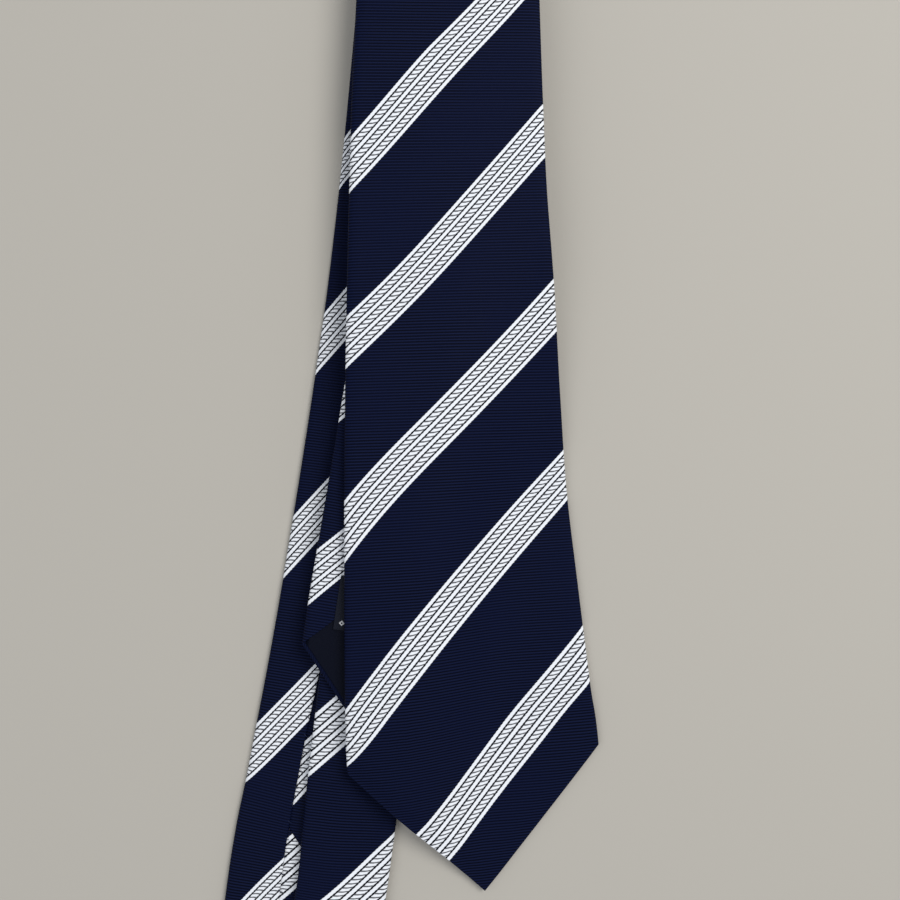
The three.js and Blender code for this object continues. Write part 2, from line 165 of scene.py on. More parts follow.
class Run:
    """One of the three runs of the tie: place(v, u, n) and width(v)."""
    def __init__(self, kind):
        self.kind = kind
        self.length = {"front": FL, "tail": TL, "neck": NL}[kind]

    def width(self, v):
        if self.kind == "front":
            return front_leg.width(v)
        if self.kind == "tail":
            return tail_leg.width(v)
        return np.where(v < N2 + U_NECK / 2, neck_front_leg.width(v - N1), neck_tail_leg.width(v - N3))

    def place(self, v, u, n):
        v, u, n = np.broadcast_arrays(np.asarray(v, float), np.asarray(u, float), np.asarray(n, float))
        if self.kind == "front":
            f = math.pi / 2 - (v - front_leg.length) / R_OUTER
            fold = np.stack([FOLD_X + u, FOLD_Y + (R_OUTER + n) * np.cos(f), HINGE_Z + 0.15 + (R_OUTER + n) * np.sin(f)], -1)
            return pick([v <= front_leg.length, v > front_leg.length], [front_leg.place(v, u, n), fold])
        if self.kind == "tail":
            f = math.pi / 2 - (v - tail_leg.length) / R_INNER
            fold = np.stack([INNER_FOLD_X + u, INNER_FOLD_Y + (R_INNER - n) * np.cos(f),
                             HINGE_Z + 0.15 + (R_INNER - n) * np.sin(f)], -1)
            return pick([v <= tail_leg.length, v > tail_leg.length], [tail_leg.place(v, u, n), fold])
        f1 = -v / R_OUTER
        a = np.stack([FOLD_X + u, FOLD_Y + (R_OUTER + n) * np.cos(f1), HINGE_Z - 0.15 + (R_OUTER + n) * np.sin(f1)], -1)
        f2 = (v - N2) / R_NECK
        b = np.stack([NECK_X + u, NECK_Y - (R_NECK + n) * np.sin(f2),
                      Z_NECK_FRONT + R_NECK - (R_NECK + n) * np.cos(f2)], -1)
        f3 = -math.pi / 2 + (v - N4) / R_INNER
        c = np.stack([INNER_FOLD_X + u, INNER_FOLD_Y + (R_INNER - n) * np.cos(f3),
                      HINGE_Z - 0.15 + (R_INNER - n) * np.sin(f3)], -1)
        return pick([v < N1, (v >= N1) & (v <= N2), (v > N2) & (v < N3), (v >= N3) & (v <= N4), v > N4],
                    [a, neck_front_leg.place(v - N1, u, n), b, neck_tail_leg.place(v - N3, u, n), c])


front, neck, tail = Run("front"), Run("neck"), Run("tail")


def cloth(run, v, u, n):
    """Cloth coordinates of a point of the tube: the face as it is, and the
    back flaps unfolded about the blade's edge."""
    w = run.width(v)
    dw = (run.width(v + 4) - run.width(v - 4)) / 8
    d = np.maximum(w - np.abs(u), 0)
    back = n < 0
    uf = np.where(back, np.sign(u) * (np.abs(u) + 2 * d / (1 + dw * dw)), u)
    vf = np.where(back, v - 2 * d * dw / (1 + dw * dw), v)
    return uf, vf


# ------------------------------------------------------------------ stripes
PERIOD, STRIPE = 61.7, 18.2      # along the leg: stripe to stripe, and a stripe's width
A_X = np.array([-200.0, 0.0, 60.0, 124.4, 181.6, 248.8, 317.6, 386.0, 460.0])
A_G = np.array([254.8 - 186.0, 254.8, 310.6, 370.2, 431.9, 493.6, 555.3, 617.0, 683.0])


PHASE_FRONT = {(0, 0): 76.274, (0, 1): 182.265, (0, 2): 11.089, (0, 3): -29.945, (0, 4): -3.971, (0, 5): 15.648,
               (1, 0): -41.025, (1, 1): -9.14, (1, 2): -9.382, (1, 3): -4.787, (1, 4): 25.405, (1, 5): 34.845,
               (2, 0): -0.635, (2, 1): -3.063, (2, 2): 12.743, (2, 3): 2.105, (2, 4): -30.958, (3, 0): -0.126,
               (3, 1): 6.072, (3, 2): -2.058, (3, 3): -14.364}


def phase_front_face(u, v):
    a, b = u / 40, (v - 170) / 170
    return sum(c * a ** i * b ** j for (i, j), c in PHASE_FRONT.items())


def phase_front(u, v):
    """The stripe's run on the blade's face; on the flaps it goes on straight."""
    w = front.width(v)
    e = np.clip(u, -w, w)
    top = np.clip(v, 6.0, 285.0)
    return phase_front_face(e, top) - 1.05 * (u - e) + 1.05 * (v - top)


def phase_neckward(u, v):
    x = v - 1.4 * u
    return np.interp(x, A_X, A_G)


def phase_neck(u, v):
    return ((v - 1.11 * u) - 578.3) * (61.7 / 73.3) - 4.2 * (1 - smooth((v - 360) / 60))


def phase_tail(u, v):
    return STRIPE - ((v + 1.13 * u) - 12.0) * (61.7 / 62.5)


def phase_tail_neckward(u, v):
    return phase_tail(u, TL + NL - v)


HATCH_LEAN = 0.12


def hatch_way(phase, cl):
    """How far along the leg a point lies for the hatching, whose bars lean the
    same way as the stripe."""
    if phase is None:
        return cl[:, 1]
    lean = np.sign(phase(cl[:, 0] - 1.0, cl[:, 1]) - phase(cl[:, 0] + 1.0, cl[:, 1]))
    along = np.sign(phase(cl[:, 0], cl[:, 1] + 1.0) - phase(cl[:, 0], cl[:, 1] - 1.0))
    return cl[:, 1] - HATCH_LEAN * cl[:, 0] * lean * np.where(along == 0, 1, along)


# ------------------------------------------------------------------- meshes
MM = 0.001


def ripple(u, v, seed):
    """The small unevenness of soft cloth, in millimetres."""
    a, b, c = 0.7 + seed, 1.9 + 2 * seed, 3.1 + seed * 0.5
    return (np.sin(u / 9.0 + v / 31.0 + a) * 0.35 + np.sin(u / 15.0 - v / 19.0 + b) * 0.4
            + np.sin(v / 47.0 + c) * 0.25)


def to_mesh(name, verts, faces, maps, material, smooth_shade=True):
    me = bpy.data.meshes.new(name)
    me.from_pydata([tuple(p) for p in (np.asarray(verts) + SHIFT) * MM], [], faces)
    me.polygons.foreach_set("use_smooth", [smooth_shade] * len(me.polygons))
    loops = np.zeros(len(me.loops), np.int32)
    me.loops.foreach_get("vertex_index", loops)
    for key, values in maps.items():
        layer = me.uv_layers.new(name=key)
        layer.data.foreach_set("uv", (np.asarray(values)[loops] * MM).astype(np.float32).ravel())
    me.materials.append(material)
    me.validate()
    o = bpy.data.objects.new(name, me)
    bpy.context.scene.collection.objects.link(o)
    return o


def quads(rows, cols, wrap=False, start=0):
    out = []
    for i in range(rows - 1):
        for j in range(cols if wrap else cols - 1):
            k = (j + 1) % cols
            out.append((start + i * cols + j, start + i * cols + k,
                        start + (i + 1) * cols + k, start + (i + 1) * cols + j))
    return out


def area_of(o):
    return sum(p.area for p in o.data.polygons)


def outward(o, sample=400):
    """Turns the faces so that a closed mesh's volume is positive."""
    me = o.data
    vol = 0.0
    for p in me.polygons:
        c, n = p.center, p.normal
        vol += c.dot(n) * p.area
    if vol < 0:
        me.flip_normals()


def thicken(o, mm):
    m = o.modifiers.new("thick", "SOLIDIFY")
    m.thickness, m.offset, m.use_even_offset, m.use_rim = mm * MM, -1.0, False, True
    bpy.context.view_layer.objects.active = o
    o.select_set(True)
    bpy.ops.object.modifier_apply(modifier="thick")
    o.select_set(False)


# cross-section of the silk, from the flap that lies under, round both edges, to
# the flap that lies on it with its fold: kind, value, n, which flap
H = HALF
R_EDGE = 2.3


def silk_section():
    rows = [("c", -3.0, -H + 0.62, 1), ("c", -1.2, -H + 0.60, 1), ("c", 0.4, -H + 0.56, 1), ("c", 1.6, -H + 0.42, 1),
            ("c", 3.0, -H + 0.16, 1), ("c", 4.8, -H + 0.03, 1), ("c", 6.6, -H, 1)]
    rows += [("b", t, -H, 1) for t in (0.15, 0.35, 0.55, 0.75, 0.9)]
    turn = [(R_EDGE * (1 - math.cos(a)), H * math.sin(a)) for a in np.radians(np.linspace(-78, 78, 13))]
    rows += [("e", (1, i), n, 1) for i, n in turn]
    rows += [("f", t, H, 1) for t in (0.95, 0.85, 0.7, 0.55, 0.4, 0.27, 0.13)] + [("c", 0.0, H, 1)]
    rows += [("f", -t, H, -1) for t in (0.13, 0.27, 0.4, 0.55, 0.7, 0.85, 0.95)]
    rows += [("e", (-1, i), n, -1) for i, n in reversed(turn)]
    rows += [("b", -t, -H, -1) for t in (0.9, 0.75, 0.55, 0.35, 0.15)]
    rows += [("c", -6.6, -H, -1), ("c", -4.0, -H - 0.05, -1), ("c", -1.8, -H - 0.12, -1), ("c", -0.5, -H - 0.13, -1),
             ("c", 0.10, -H - 0.10, -1), ("c", 0.36, -H + 0.0, -1), ("c", 0.42, -H + 0.14, -1),
             ("c", 0.30, -H + 0.27, -1), ("c", -0.1, -H + 0.33, -1), ("c", -1.4, -H + 0.34, -1)]
    return rows


SECTION = silk_section()
SIDE = np.array([r[3] for r in SECTION], float)
SECTION_N = np.array([r[2] for r in SECTION], float)


def section_u(w):
    out = np.zeros(len(SECTION))
    for j, (kind, val, n, side) in enumerate(SECTION):
        ww = w[j]
        if kind == "c":
            out[j] = val
        elif kind == "e":
            out[j] = val[0] * (ww - val[1])
        elif kind == "b":        # flap, from 6.6 mm off the seam to the edge's turn
            a = abs(val)
            out[j] = math.copysign(lerp(6.6, ww - R_EDGE, a), val)
        else:                    # face, a share of the half width inside the turn
            out[j] = val * (ww - R_EDGE)
    return out


def silk(name, run, stations, phase, material, tip=None, seed=0.0):
    """The silk of one stretch of the tie: the open outer surface, then its
    thickness. stations(s, n, side) or a number each; tip = (length, corner
    half width) where the stretch ends in a point."""
    P, C, F, U, V = [], [], [], [], []
    n0 = SECTION_N.copy()
    for st in stations:
        w = np.full(len(SECTION), float(run.width(np.array(st(0.0, 1.0, 1.0) if callable(st) else st))))
        for _ in range(3):
            u = section_u(w)
            s = u / w
            v = st(s, n0, SIDE) if callable(st) else np.full(len(s), float(st))
            w = run.width(v)
        u = section_u(w)
        n = n0.copy()
        flat_part = smooth((w - np.abs(u)) / 6.0)
        n = n + np.where(n0 > 0, 1.0, 0.6) * 0.16 * ripple(u, v, seed + (n0 < 0)) * flat_part * (np.abs(u) > 5) \
              + (n0 > 0) * 0.16 * ripple(u, v, seed) * flat_part * (np.abs(u) <= 5)
        if tip is not None:
            d = (v - tip[0] * np.abs(u / w)) * 0.7
            n = np.where(n0 > 0, np.minimum(n, lerp(0.62, H + 0.2, smooth(d / 8.0))), n)
        P.append(run.place(v, u, n))
        cu, cv = cloth(run, v, u, np.where(np.abs(n0) > H * 0.999, n0, np.where(SECTION_N < 0, -1.0, 1.0)))
        # on the turn itself the cloth runs on evenly
        C.append(np.stack([cu, cv], -1))
        U.append(u); V.append(v)
    P, C = np.array(P), np.array(C)
    rows, cols = P.shape[:2]
    # both flaps: the cloth as unfolded about its own edge, past the middle too
    UU, VV = np.array(U), np.array(V)
    OUT = P - run.place(VV, UU, np.zeros(UU.shape))
    for j in range(cols):
        if SECTION[j][0] == "c" and SECTION_N[j] < 0:
            w = run.width(VV[:, j])
            dw = (run.width(VV[:, j] + 4) - run.width(VV[:, j] - 4)) / 8
            d = w - SIDE[j] * UU[:, j]
            C[:, j, 0] = SIDE[j] * (SIDE[j] * UU[:, j] + 2 * d / (1 + dw * dw))
            C[:, j, 1] = VV[:, j] - 2 * d * dw / (1 + dw * dw)
    verts = P.reshape(-1, 3)
    cl = C.reshape(-1, 2)
    faces = quads(rows, cols)
    if tip is not None:
        jf = [j for j in range(cols) if SECTION_N[j] >= -1e-6]
        lo, hi = jf[0], jf[-1]
        m = hi - lo + 1
        u = np.array(U[0])[lo:hi + 1]
        v = np.array(V[0])[lo:hi + 1]
        base = np.arange(lo, hi + 1)
        prev = base
        verts = [verts]; cl = [cl]; count = rows * cols
        for d, nn, in [(-0.30, 0.42), (-0.46, 0.05), (-0.38, -0.32), (-0.05, -0.52), (0.9, -0.56), (2.2, -0.55), (4.2, -0.53)]:
            vv = v + d
            uu = u * (1 - 0.022 * smooth(np.array((d + 0.4) / 1.4)))
            row = run.place(vv, uu, np.minimum(nn, SECTION_N[lo:hi + 1]))
            verts.append(row)
            cl.append(np.stack([uu, v - (d + 1.0)], -1))
            new = np.arange(count, count + m)
            for j in range(m - 1):
                faces.append((int(new[j]), int(new[j + 1]), int(prev[j + 1]), int(prev[j])))
            prev = new
            count += m
        verts = np.concatenate(verts); cl = np.concatenate(cl)
    ph = phase(cl[:, 0], cl[:, 1])
    o = to_mesh(name, verts, faces, {"cloth": cl, "stripe": np.stack([ph, hatch_way(phase, cl)], -1)}, material)
    area = area_of(o)
    # the outside faces away from the tube's middle
    out = OUT.reshape(-1, 3)
    if sum(float(np.dot(out[p.vertices[0]], p.normal)) * p.area for p in o.data.polygons if p.vertices[0] < len(out)) < 0:
        o.data.flip_normals()
    thicken(o, 0.27)
    outward(o)
    return o, area


def block(name, run, section, stations, material, wrap_maps=True, phase=None, subdiv=0, insets=None):
    """A closed piece swept along a run. section: rows of (kind, value, n); ends closed by fans of quads."""
    P, C = [], []
    for st in stations:
        val_n = np.array([r[2] for r in section], float)
        w = np.full(len(section), float(run.width(np.array(st(0.0, 1.0, 1.0) if callable(st) else st))))
        for _ in range(3):
            u = np.array([r[1] if r[0] == "c" else (r[1][0] * (w[j] - r[1][1]) if r[0] == "e" else r[1] * w[j])
                          for j, r in enumerate(section)], float)
            s = u / w
            v = st(s, val_n, np.sign(s)) if callable(st) else np.full(len(s), float(st))
            w = run.width(v)
        P.append(run.place(v, u, val_n))
        C.append(np.stack([u, v], -1))
    P, C = np.array(P), np.array(C)
    rows, cols = P.shape[:2]
    faces = quads(rows, cols, wrap=True)
    half = cols // 2
    for i, flip in ((0, True), (rows - 1, False)):
        for j in range(half - 1):
            a, b = i * cols + j, i * cols + j + 1
            c, d = i * cols + cols - 2 - j, i * cols + cols - 1 - j
            faces.append((a, d, c, b) if flip else (a, b, c, d))
    cl = C.reshape(-1, 2)
    ph = phase(cl[:, 0], cl[:, 1]) if phase else np.full(len(cl), 40.0)
    o = to_mesh(name, P.reshape(-1, 3), faces, {"cloth": cl, "stripe": np.stack([ph, hatch_way(phase, cl)], -1)}, material)
    outward(o)
    return o


def plate(insets, low, high, shares=(0.0, 0.2, 0.4, 0.6, 0.8), edge=0.12):
    """A flat strip's section, square at its edges."""
    def half(n, rev=False):
        left = [("e", (-1, insets), n * 0 + n)]
        rows = [("e", (-1, insets), n)] + [("s", -t, n) for t in reversed(shares[1:])] + [("c", 0.0, n)] \
            + [("s", t, n) for t in shares[1:]] + [("e", (1, insets), n)]
        return list(reversed(rows)) if rev else rows
    return half(low) + half(high, True)


def strip(half_w, low, high, count=5):
    xs = np.linspace(-half_w, half_w, count)
    return [("c", x, low) for x in xs] + [("c", x, high) for x in reversed(xs)]


def tube(points, radius, sides=8, taper=True):
    """A round thread along the points, its radius given at each point; both ends closed by flat caps."""
    pts = np.asarray(points, float)
    n = len(pts)
    t = np.gradient(pts, axis=0)
    t /= np.linalg.norm(t, axis=1)[:, None]
    ref = np.array([0.0, 0.0, 1.0]) if abs(t[0][2]) < 0.9 else np.array([1.0, 0.0, 0.0])
    verts, faces = [], []
    for i in range(n):
        a = np.cross(t[i], ref); a /= np.linalg.norm(a)
        b = np.cross(t[i], a)
        r = radius[i] if hasattr(radius, "__len__") else radius
        for k in range(sides):
            f = 2 * math.pi * k / sides
            verts.append(pts[i] + r * (math.cos(f) * a + math.sin(f) * b))
    for i in range(n - 1):
        for k in range(sides):
            q = (k + 1) % sides
            faces.append((i * sides + k, i * sides + q, (i + 1) * sides + q, (i + 1) * sides + k))
    faces.append(tuple(range(sides - 1, -1, -1)))
    faces.append(tuple((n - 1) * sides + k for k in range(sides)))
    return verts, faces


def threads(name, paths, radius, material):
    verts, faces, cl = [], [], []
    for path in paths:
        r = radius
        m = len(path)
        ends = np.array([0.45] + [1.0] * (m - 2) + [0.45]) * r if m > 3 else r
        v, f = tube(path, ends)
        k = len(verts)
        verts += v
        faces += [tuple(k + i for i in q) for q in f]
        run_len = np.concatenate([[0], np.cumsum(np.linalg.norm(np.diff(np.asarray(path), axis=0), axis=1))])
        for i in range(m):
            for s in range(8):
                cl.append((s * 2 * math.pi * r / 8, run_len[i]))
    o = to_mesh(name, np.array(verts), faces, {"cloth": np.array(cl)}, material)
    outward(o)
    return o


# ---------------------------------------------------------------- materials
class Graph:
    """A short way to write node maths."""
    def __init__(self, name, **look):
        self.m = bpy.data.materials.new(name)
        self.m.use_nodes = True
        self.nt = self.m.node_tree
        self.bsdf = self.nt.nodes["Principled BSDF"]
        for key, value in look.items():
            self.bsdf.inputs[key.replace("_", " ")].default_value = value

    def put(self, socket, value):
        if hasattr(value, "is_linked") or isinstance(value, bpy.types.NodeSocket):
            self.nt.links.new(value, socket)
        else:
            socket.default_value = value

    def math(self, op, a, b=None, c=None, clamp=False):
        n = self.nt.nodes.new("ShaderNodeMath")
        n.operation, n.use_clamp = op, clamp
        for i, x in enumerate((a, b, c)):
            if x is not None:
                self.put(n.inputs[i], x)
        return n.outputs[0]

    def add(self, a, b): return self.math("ADD", a, b)
    def sub(self, a, b): return self.math("SUBTRACT", a, b)
    def mul(self, a, b): return self.math("MULTIPLY", a, b)
    def div(self, a, b): return self.math("DIVIDE", a, b)
    def fract(self, a): return self.math("FRACT", a)
    def sin(self, a): return self.math("SINE", a)

    def step(self, x, lo, hi, a=0.0, b=1.0):
        n = self.nt.nodes.new("ShaderNodeMapRange")
        n.interpolation_type = "SMOOTHSTEP"
        self.put(n.inputs["Value"], x)
        n.inputs["From Min"].default_value, n.inputs["From Max"].default_value = lo, hi
        n.inputs["To Min"].default_value, n.inputs["To Max"].default_value = a, b
        return n.outputs[0]

    def uv(self, name):
        n = self.nt.nodes.new("ShaderNodeUVMap")
        n.uv_map = name
        s = self.nt.nodes.new("ShaderNodeSeparateXYZ")
        self.nt.links.new(n.outputs[0], s.inputs[0])
        return self.mul(s.outputs[0], 1000.0), self.mul(s.outputs[1], 1000.0)

    def xyz(self, x, y, z=0.0):
        n = self.nt.nodes.new("ShaderNodeCombineXYZ")
        for i, k in enumerate((x, y, z)):
            self.put(n.inputs[i], k)
        return n.outputs[0]

    def noise(self, vector, scale=1.0, detail=2.0, rough=0.5):
        n = self.nt.nodes.new("ShaderNodeTexNoise")
        self.put(n.inputs["Vector"], vector)
        n.inputs["Scale"].default_value, n.inputs["Detail"].default_value = scale, detail
        n.inputs["Roughness"].default_value = rough
        return n.outputs["Fac"]

    def mix(self, t, a, b):
        n = self.nt.nodes.new("ShaderNodeMix")
        n.data_type = "RGBA"
        self.put(n.inputs["Factor"], t)
        for key, x in (("A", a), ("B", b)):
            socket = [i for i in n.inputs if i.name == key and i.type == "RGBA"][0]
            self.put(socket, x if isinstance(x, bpy.types.NodeSocket) else (*x, 1.0))
        return [o for o in n.outputs if o.type == "RGBA"][0]

    def bump(self, height, distance, strength=1.0):
        n = self.nt.nodes.new("ShaderNodeBump")
        self.put(n.inputs["Height"], height)
        n.inputs["Distance"].default_value, n.inputs["Strength"].default_value = distance, strength
        self.nt.links.new(n.outputs[0], self.bsdf.inputs["Normal"])

    def colour(self, socket):
        self.nt.links.new(socket, self.bsdf.inputs["Base Color"])

    def rough(self, socket):
        self.nt.links.new(socket, self.bsdf.inputs["Roughness"])


TWO_PI = 2 * math.pi
RIB = 0.97                       # rib to rib
HATCH = 1.30                     # bar to bar in the hatched bands
BAND = 5.66                      # solid band to solid band, along the leg


def silk_material(name):
    g = Graph(name, Specular_IOR_Level=0.04)
    u, v = g.uv("cloth")
    ph, _ = g.uv("stripe")
    uneven = g.noise(g.xyz(g.mul(u, 0.05), g.mul(v, 0.35)), 1.0, 3.0, 0.6)
    r = g.div(g.add(v, g.mul(g.sub(uneven, 0.5), 0.25)), RIB)
    rib_s = g.sin(g.mul(r, TWO_PI))
    rib_relief_and_groove_shade = g.step(rib_s, -0.75, 0.60)              # rounded rib, narrow groove
    # picks: fine yarns that cross a rib
    pick = g.sin(g.mul(g.add(u, g.mul(rib_s, 0.05)), TWO_PI / 0.27))
    fuzz = g.noise(g.xyz(g.mul(u, 3.4), g.mul(v, 3.4)), 1.0, 2.0, 0.6)
    # stripe: bands, measured along the leg from the first solid band's middle
    _, along = g.uv("stripe")
    x = g.sub(g.mul(g.fract(g.div(g.add(ph, 6170.0 + 5.0), PERIOD)), PERIOD), 5.0 + 0.37)
    x = g.add(x, g.mul(g.sub(g.fract(r), 0.5), 0.22))
    inside = g.mul(g.step(x, -0.98, -0.80), g.step(x, 17.86, 18.04, 1.0, 0.0))
    y = g.math("ABSOLUTE", g.mul(g.sub(g.fract(g.add(g.div(x, BAND), 10.5)), 0.5), BAND))
    line = g.mul(g.step(y, 0.70, 0.84), g.step(y, 1.44, 1.58, 1.0, 0.0))
    hatched = g.step(y, 1.44, 1.58)
    bend = g.mul(g.sub(y, 2.0), 0.10)
    h = g.fract(g.div(g.add(along, g.add(bend, 500.0 * HATCH)), HATCH))
    bar_line = g.mul(g.mul(g.step(h, 0.0, 0.10), g.step(h, 0.32, 0.46, 1.0, 0.0)), hatched)
    dark = g.math("MAXIMUM", line, g.mul(bar_line, 0.88))
    white = g.mul(inside, g.sub(1.0, dark))
    # colours
    tone = g.noise(g.xyz(g.mul(u, 0.03), g.mul(v, 0.03)), 1.0, 2.0, 0.5)
    # navy is darker in the rib grooves and lighter on the rib tops: painted shade in the grooves, from the same rib
    # mask as the bump
    navy = g.mix(rib_relief_and_groove_shade, (0.0004, 0.0009, 0.0056), (0.0044, 0.0080, 0.0330))
    navy = g.mix(g.mul(g.step(tone, 0.35, 0.7), 0.35), navy, (0.0020, 0.0042, 0.0230))
    navy = g.mix(g.mul(g.step(fuzz, 0.55, 0.8), 0.25), navy, (0.0080, 0.0120, 0.042))
    ink = (0.0012, 0.0018, 0.0052)
    # thread: fine diagonal yarn lines in the white stripes; the white is lighter on the raised yarns and darker between
    # them, painted light and shade of the yarns, from the same mask that lifts the bump
    thread = g.step(g.sin(g.mul(g.add(g.mul(u, 0.9), g.mul(v, 0.15)), TWO_PI / 0.34)), -0.9, 0.4, 0.0, 1.0)
    pale = g.mix(thread, (0.68, 0.71, 0.76), (0.83, 0.85, 0.89))
    pale = g.mix(g.mul(g.step(fuzz, 0.5, 0.75), 0.3), pale, (0.74, 0.76, 0.80))
    base = g.mix(g.mul(inside, dark), navy, ink)
    g.colour(g.mix(white, base, pale))
    g.rough(g.add(g.mul(white, 0.10), g.add(0.50, g.mul(g.sub(fuzz, 0.5), 0.16))))
    body = g.mul(g.add(g.mul(rib_relief_and_groove_shade, 1.0), g.mul(pick, 0.10)), g.sub(1.0, g.mul(inside, 0.75)))
    raised = g.mul(white, g.add(0.9, g.mul(thread, 0.16)))
    height = g.add(body, g.add(raised, g.mul(fuzz, 0.12)))
    g.bump(height, 0.00011, 0.9)
    return g.m


def satin_material(name, dark=(0.0007, 0.0012, 0.0048), light=(0.0026, 0.0042, 0.0120)):
    g = Graph(name, Specular_IOR_Level=0.05)
    u, v = g.uv("cloth")
    warp_relief_and_sheen = g.step(g.sin(g.mul(g.add(u, g.mul(v, 0.55)), TWO_PI / 0.42)), -1.0, 0.8)
    fleck = g.noise(g.xyz(g.mul(u, 0.8), g.mul(v, 2.6)), 1.0, 3.0, 0.6)
    # the satin is lighter along the warp floats and darker between them: painted sheen on the floats, from the same
    # mask as the bump; the fleck noise adds random tone
    g.colour(g.mix(g.add(g.mul(warp_relief_and_sheen, 0.55), g.mul(fleck, 0.4)), dark, light))
    g.rough(g.add(0.34, g.mul(fleck, 0.16)))
    g.bump(g.add(g.mul(warp_relief_and_sheen, 0.8), g.mul(fleck, 0.4)), 0.00005, 0.6)
    return g.m


def felt_material(name):
    g = Graph(name, Roughness=0.95, Specular_IOR_Level=0.1, Sheen_Weight=0.3)
    u, v = g.uv("cloth")
    hair = g.noise(g.xyz(g.mul(u, 1.6), g.mul(v, 0.6)), 1.0, 5.0, 0.7)
    knot = g.noise(g.xyz(g.mul(u, 0.25), g.mul(v, 0.25)), 1.0, 3.0, 0.6)
    g.colour(g.mix(g.add(g.mul(hair, 0.7), g.mul(knot, 0.3)), (0.36, 0.33, 0.27), (0.70, 0.66, 0.58)))
    g.bump(hair, 0.0003, 0.8)
    return g.m


def thread_material(name):
    g = Graph(name, Specular_IOR_Level=0.12)
    a, l = g.uv("cloth")
    ply_relief_and_shading = g.step(g.sin(g.mul(g.add(g.mul(a, 1.6), l), TWO_PI / 0.5)), -0.8, 0.7)
    # the thread is lighter on the ply crests and darker between them: painted light and shade of the twist, from the
    # same mask as the bump
    g.colour(g.mix(ply_relief_and_shading, (0.004, 0.006, 0.018), (0.022, 0.032, 0.085)))
    g.rough(g.add(0.42, g.mul(ply_relief_and_shading, 0.12)))
    g.bump(ply_relief_and_shading, 0.00006, 0.9)
    return g.m


def label_material(name, half_w, v0, length, row, pitch):
    """Plain woven label: dark satin with a row of small pale lozenges."""
    g = Graph(name, Specular_IOR_Level=0.12)
    u, v = g.uv("cloth")
    eu = g.sub(half_w, g.math("ABSOLUTE", u))
    ev = g.math("MINIMUM", g.sub(v, v0), g.sub(v0 + length, v))
    e = g.math("MINIMUM", eu, ev)
    weave = g.step(g.sin(g.mul(v, TWO_PI / 0.30)), -1.0, 0.6)
    cross = g.sin(g.mul(u, TWO_PI / 0.22))
    cu = g.math("ABSOLUTE", g.mul(g.sub(g.fract(g.add(g.div(u, pitch), 0.5)), 0.5), pitch))
    cv = g.math("ABSOLUTE", g.sub(v, v0 + row))
    lozenge = g.step(g.add(cu, cv), 0.85, 1.0, 1.0, 0.0)
    hollow = g.step(g.add(cu, cv), 0.30, 0.42)
    pale = g.mul(g.mul(lozenge, hollow), g.step(e, 1.0, 1.2))
    # the label's ground is lighter on the weave's crests and darker between them: painted light and shade of the weave,
    # from the same mask as the bump; the lozenges are the label's own pale pattern
    base = g.mix(weave, (0.0012, 0.0020, 0.0060), (0.0050, 0.0075, 0.0170))
    g.colour(g.mix(g.mul(pale, 0.9), base, (0.60, 0.61, 0.62)))
    g.rough(g.add(0.38, g.mul(weave, 0.12)))
    g.bump(g.add(g.mul(weave, 0.7), g.add(g.mul(cross, 0.15), g.mul(pale, 0.6))), 0.00006, 0.8)
    return g.m


# ------------------------------------------------------------------ the pieces
SILK = silk_material("silk")
SATIN = satin_material("tipping_satin")
FELT = felt_material("interlining_felt")
THREAD = thread_material("thread")


def spaced(a, b, gap):
    n = max(1, int(round((b - a) / gap)))
    return [a + (b - a) * i / n for i in range(n + 1)]


def pointed(tip, half, inset=0.0):
    def st(s, n, side):
        s, n, side = np.broadcast_arrays(np.asarray(s, float), n, side)
        if inset:
            return tip * np.abs(s) + inset
        return np.where(n < -1e-6, tip + (1 - s * side) * half, tip * np.abs(s))
    return st


def join(v0, w, gap):
    def st(s, n, side):
        s, n, side = np.broadcast_arrays(np.asarray(s, float), n, side)
        return np.where(n < -1e-6, v0 - side * w * (2 - s * side), v0 - s * w) + gap
    return st


def between(end, v, ts, first=True):
    """Stations that turn from a slanted end line into a square one."""
    out = []
    for t in ts:
        out.append(lambda s, n, side, t=t: lerp(end(s, n, side), v, t))
    return out


def near_end(count):
    """Shares from 0 to 1, close together at first."""
    return [((i / count) ** 1.5) for i in range(count)]


ROW = 2.2
CUT_F = front_leg.length - 9.0       # where the fold's own cloth begins
CUT_N = N1 + 9.0
CUT_T = tail_leg.length - 7.0
CUT_M = N4 - 7.0
J1 = float(neck.width(np.array(362.0)))
J2 = float(neck.width(np.array(668.0)))
A1, A2 = 362.0 - 3.2 * J1 - 3, 362.0 + 3.2 * J1 + 3
B1, B2 = 668.0 - 3.2 * J2 - 3, 668.0 + 3.2 * J2 + 3


class Both:
    """The top folds: one run from one leg round the fold to the other. v counts
    from the fold's crest, minus on the blade's side."""
    def __init__(self, blade, length, at):
        self.blade, self.length, self.end = blade, length, at

    def width(self, v):
        v = np.asarray(v, float)
        if self.end == "start":
            other = neck.width(np.maximum(v, 0))
        else:
            other = neck.width(np.minimum(NL - v, NL))
        return np.where(v < 0, self.blade.width(np.minimum(self.length + v, self.length)), other)

    def place(self, v, u, n):
        v, u, n = np.broadcast_arrays(np.asarray(v, float), np.asarray(u, float), np.asarray(n, float))
        a = self.blade.place(np.minimum(self.length + v, self.length), u, n)
        b = neck.place(np.maximum(v, 0) if self.end == "start" else np.minimum(NL - v, NL), u, n)
        w = np.clip((v + 0.4) / 0.8, 0, 1)[..., None]
        return np.where(np.abs(v[..., None]) < 0.4, a * (1 - w) + b * w, np.where(v[..., None] < 0, a, b))


top_fold = Both(front, FL, "start")
inner_fold = Both(tail, TL, "end")

made = {}


def keep(o, body, slot_name, *nodes):
    if nodes:
        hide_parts(*nodes)
    if body:
        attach(o, body)
    made[o.name] = o
    return o


SHEETS = []


